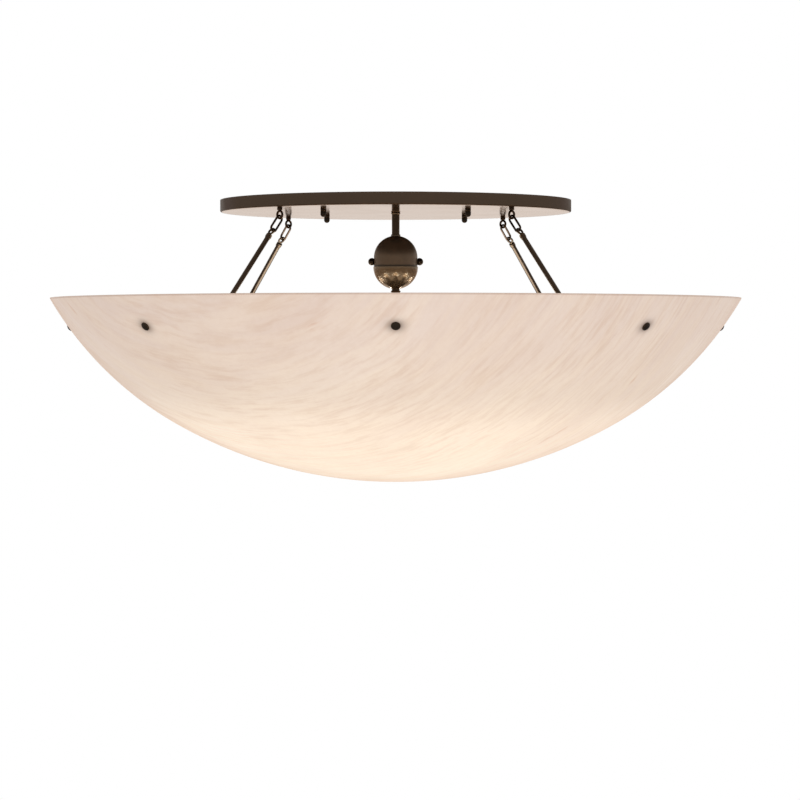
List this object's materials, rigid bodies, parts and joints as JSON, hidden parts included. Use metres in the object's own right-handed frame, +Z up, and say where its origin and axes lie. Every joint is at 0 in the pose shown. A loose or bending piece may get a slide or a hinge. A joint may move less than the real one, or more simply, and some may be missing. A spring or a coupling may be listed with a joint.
{
  "type": "semi flush ceiling light",
  "caption": "Semi flush ceiling light: a wide shallow translucent bowl hung by leaning rods and chain links below a round flat pan, with a ball on the central stem.",
  "frame": {"origin": "middle of the ceiling bracket's top face, in the ceiling plane", "axes": "+Z up towards the ceiling, -Y the front, with one bowl screw at the exact front"},
  "size_m": [0.9143, 0.9144, 0.3735],
  "materials": {
    "pan_bronze": "dark oil-rubbed bronze, satin",
    "stem_bronze": "dark oil-rubbed bronze, satin",
    "ball_bronze": "dark bronze, half polished",
    "rod_bronze": "dark bronze, half polished",
    "chain_bronze": "dark bronze, worn",
    "dark_fasteners": "black bronze",
    "zinc_steel": "zinc plated",
    "earth_green": "green lacquer",
    "hub_enamel": "white enamel",
    "frame_enamel": "white enamel",
    "bowl_acrylic": "translucent, veined like alabaster",
    "soft_washers": "soft black rubber",
    "socket_ceramic": "glazed white",
    "bulb_metal": "plain",
    "bulb_glass": "frosted, lit"
  },
  "bodies": {
    "fixture": {"ball_lower_shell": "ball_bronze", "ball_strap": "zinc_steel", "ball_strap_nuts": "zinc_steel", "ball_upper_shell": "ball_bronze", "bracket_studs": "zinc_steel", "ceiling_bracket": "zinc_steel", "ceiling_pan": "pan_bronze", "eye_nuts": "zinc_steel", "eye_washers": "zinc_steel", "flared_neck": "ball_bronze", "ground_screw": "earth_green", "hub_cover": "hub_enamel", "hub_finial": "stem_bronze", "lamp_hub": "hub_enamel", "lamp_socket_1": "socket_ceramic", "lamp_socket_2": "socket_ceramic", "lamp_socket_3": "socket_ceramic", "lamp_socket_4": "socket_ceramic", "lamp_socket_5": "socket_ceramic", "lamp_socket_6": "socket_ceramic", "pan_eye_front_left": "chain_bronze", "pan_eye_front_right": "chain_bronze", "pan_eye_rear_left": "chain_bronze", "pan_eye_rear_right": "chain_bronze", "stem_collar": "stem_bronze", "stem_lock_nuts": "zinc_steel", "stem_pipe": "stem_bronze", "stud_lock_nuts": "zinc_steel"},
    "bowl": {"bowl": "bowl_acrylic", "bowl_frame": "frame_enamel", "bowl_screws": "dark_fasteners", "bowl_washers": "soft_washers", "bowl_nuts": "zinc_steel"},
    "hanger_front_left": {"chain_link_front_left": "chain_bronze", "rod_front_left": "rod_bronze"},
    "hanger_front_right": {"chain_link_front_right": "chain_bronze", "rod_front_right": "rod_bronze"},
    "hanger_rear_left": {"chain_link_rear_left": "chain_bronze", "rod_rear_left": "rod_bronze"},
    "hanger_rear_right": {"chain_link_rear_right": "chain_bronze", "rod_rear_right": "rod_bronze"},
    "cap_nut_front_left": {"cap_nut_front_left": "dark_fasteners"},
    "cap_nut_front_right": {"cap_nut_front_right": "dark_fasteners"},
    "cap_nut_rear_left": {"cap_nut_rear_left": "dark_fasteners"},
    "cap_nut_rear_right": {"cap_nut_rear_right": "dark_fasteners"},
    "ball_screw_left": {"ball_screw_left": "dark_fasteners"},
    "ball_screw_right": {"ball_screw_right": "dark_fasteners"},
    "bulb_1": {"bulb_base_1": "bulb_metal", "bulb_glass_1": "bulb_glass"},
    "bulb_2": {"bulb_base_2": "bulb_metal", "bulb_glass_2": "bulb_glass"},
    "bulb_3": {"bulb_base_3": "bulb_metal", "bulb_glass_3": "bulb_glass"},
    "bulb_4": {"bulb_base_4": "bulb_metal", "bulb_glass_4": "bulb_glass"},
    "bulb_5": {"bulb_base_5": "bulb_metal", "bulb_glass_5": "bulb_glass"},
    "bulb_6": {"bulb_base_6": "bulb_metal", "bulb_glass_6": "bulb_glass"}
  },
  "joints": [
    {"name": "bowl_sway", "type": "hinge", "parent": "fixture", "child": "bowl", "pos_m": [0, 0, 0.22243], "axis": [0, 1, 0], "range_deg": [-2, 2]},
    {"name": "hanger_swing_front_left", "type": "hinge", "parent": "fixture", "child": "hanger_front_left", "pos_m": [-0.14814, -0.14814, -0.03], "axis": [0, 1, 0], "range_deg": [-5.2, 5.2]},
    {"name": "hanger_swing_front_right", "type": "hinge", "parent": "fixture", "child": "hanger_front_right", "pos_m": [0.14814, -0.14814, -0.03], "axis": [0, 1, 0], "range_deg": [-5.2, 5.2]},
    {"name": "hanger_swing_rear_left", "type": "hinge", "parent": "fixture", "child": "hanger_rear_left", "pos_m": [-0.14814, 0.14814, -0.03], "axis": [0, 1, 0], "range_deg": [-5.2, 5.2]},
    {"name": "hanger_swing_rear_right", "type": "hinge", "parent": "fixture", "child": "hanger_rear_right", "pos_m": [0.14814, 0.14814, -0.03], "axis": [0, 1, 0], "range_deg": [-5.2, 5.2]},
    {"name": "cap_nut_turn_front_left", "type": "hinge", "parent": "fixture", "child": "cap_nut_front_left", "pos_m": [-0.09376, -0.09376, -0.016], "axis": [0, 0, 1], "continuous": true},
    {"name": "cap_nut_turn_front_right", "type": "hinge", "parent": "fixture", "child": "cap_nut_front_right", "pos_m": [0.09376, -0.09376, -0.016], "axis": [0, 0, 1], "continuous": true},
    {"name": "cap_nut_turn_rear_left", "type": "hinge", "parent": "fixture", "child": "cap_nut_rear_left", "pos_m": [-0.09376, 0.09376, -0.016], "axis": [0, 0, 1], "continuous": true},
    {"name": "cap_nut_turn_rear_right", "type": "hinge", "parent": "fixture", "child": "cap_nut_rear_right", "pos_m": [0.09376, 0.09376, -0.016], "axis": [0, 0, 1], "continuous": true},
    {"name": "ball_screw_turn_left", "type": "hinge", "parent": "fixture", "child": "ball_screw_left", "pos_m": [-0.02895, 0, -0.0814], "axis": [-1, 0, 0], "continuous": true},
    {"name": "ball_screw_turn_right", "type": "hinge", "parent": "fixture", "child": "ball_screw_right", "pos_m": [0.02895, 0, -0.0814], "axis": [1, 0, 0], "continuous": true},
    {"name": "bulb_turn_1", "type": "hinge", "parent": "fixture", "child": "bulb_1", "pos_m": [0.07194, 0.04154, -0.18526], "axis": [0.8365, 0.483, -0.2588], "continuous": true},
    {"name": "bulb_turn_2", "type": "hinge", "parent": "fixture", "child": "bulb_2", "pos_m": [0, 0.08307, -0.18526], "axis": [0, 0.9659, -0.2588], "continuous": true},
    {"name": "bulb_turn_3", "type": "hinge", "parent": "fixture", "child": "bulb_3", "pos_m": [-0.07194, 0.04154, -0.18526], "axis": [-0.8365, 0.483, -0.2588], "continuous": true},
    {"name": "bulb_turn_4", "type": "hinge", "parent": "fixture", "child": "bulb_4", "pos_m": [-0.07194, -0.04154, -0.18526], "axis": [-0.8365, -0.483, -0.2588], "continuous": true},
    {"name": "bulb_turn_5", "type": "hinge", "parent": "fixture", "child": "bulb_5", "pos_m": [0, -0.08307, -0.18526], "axis": [0, -0.9659, -0.2588], "continuous": true},
    {"name": "bulb_turn_6", "type": "hinge", "parent": "fixture", "child": "bulb_6", "pos_m": [0.07194, -0.04154, -0.18526], "axis": [0.8365, -0.483, -0.2588], "continuous": true}
  ],
  "couplings": [
    {"joint": "hanger_swing_front_left", "follows": "bowl_sway", "ratio": 2.5206},
    {"joint": "hanger_swing_front_right", "follows": "bowl_sway", "ratio": 2.5206},
    {"joint": "hanger_swing_rear_left", "follows": "bowl_sway", "ratio": 2.5206},
    {"joint": "hanger_swing_rear_right", "follows": "bowl_sway", "ratio": 2.5206}
  ]
}
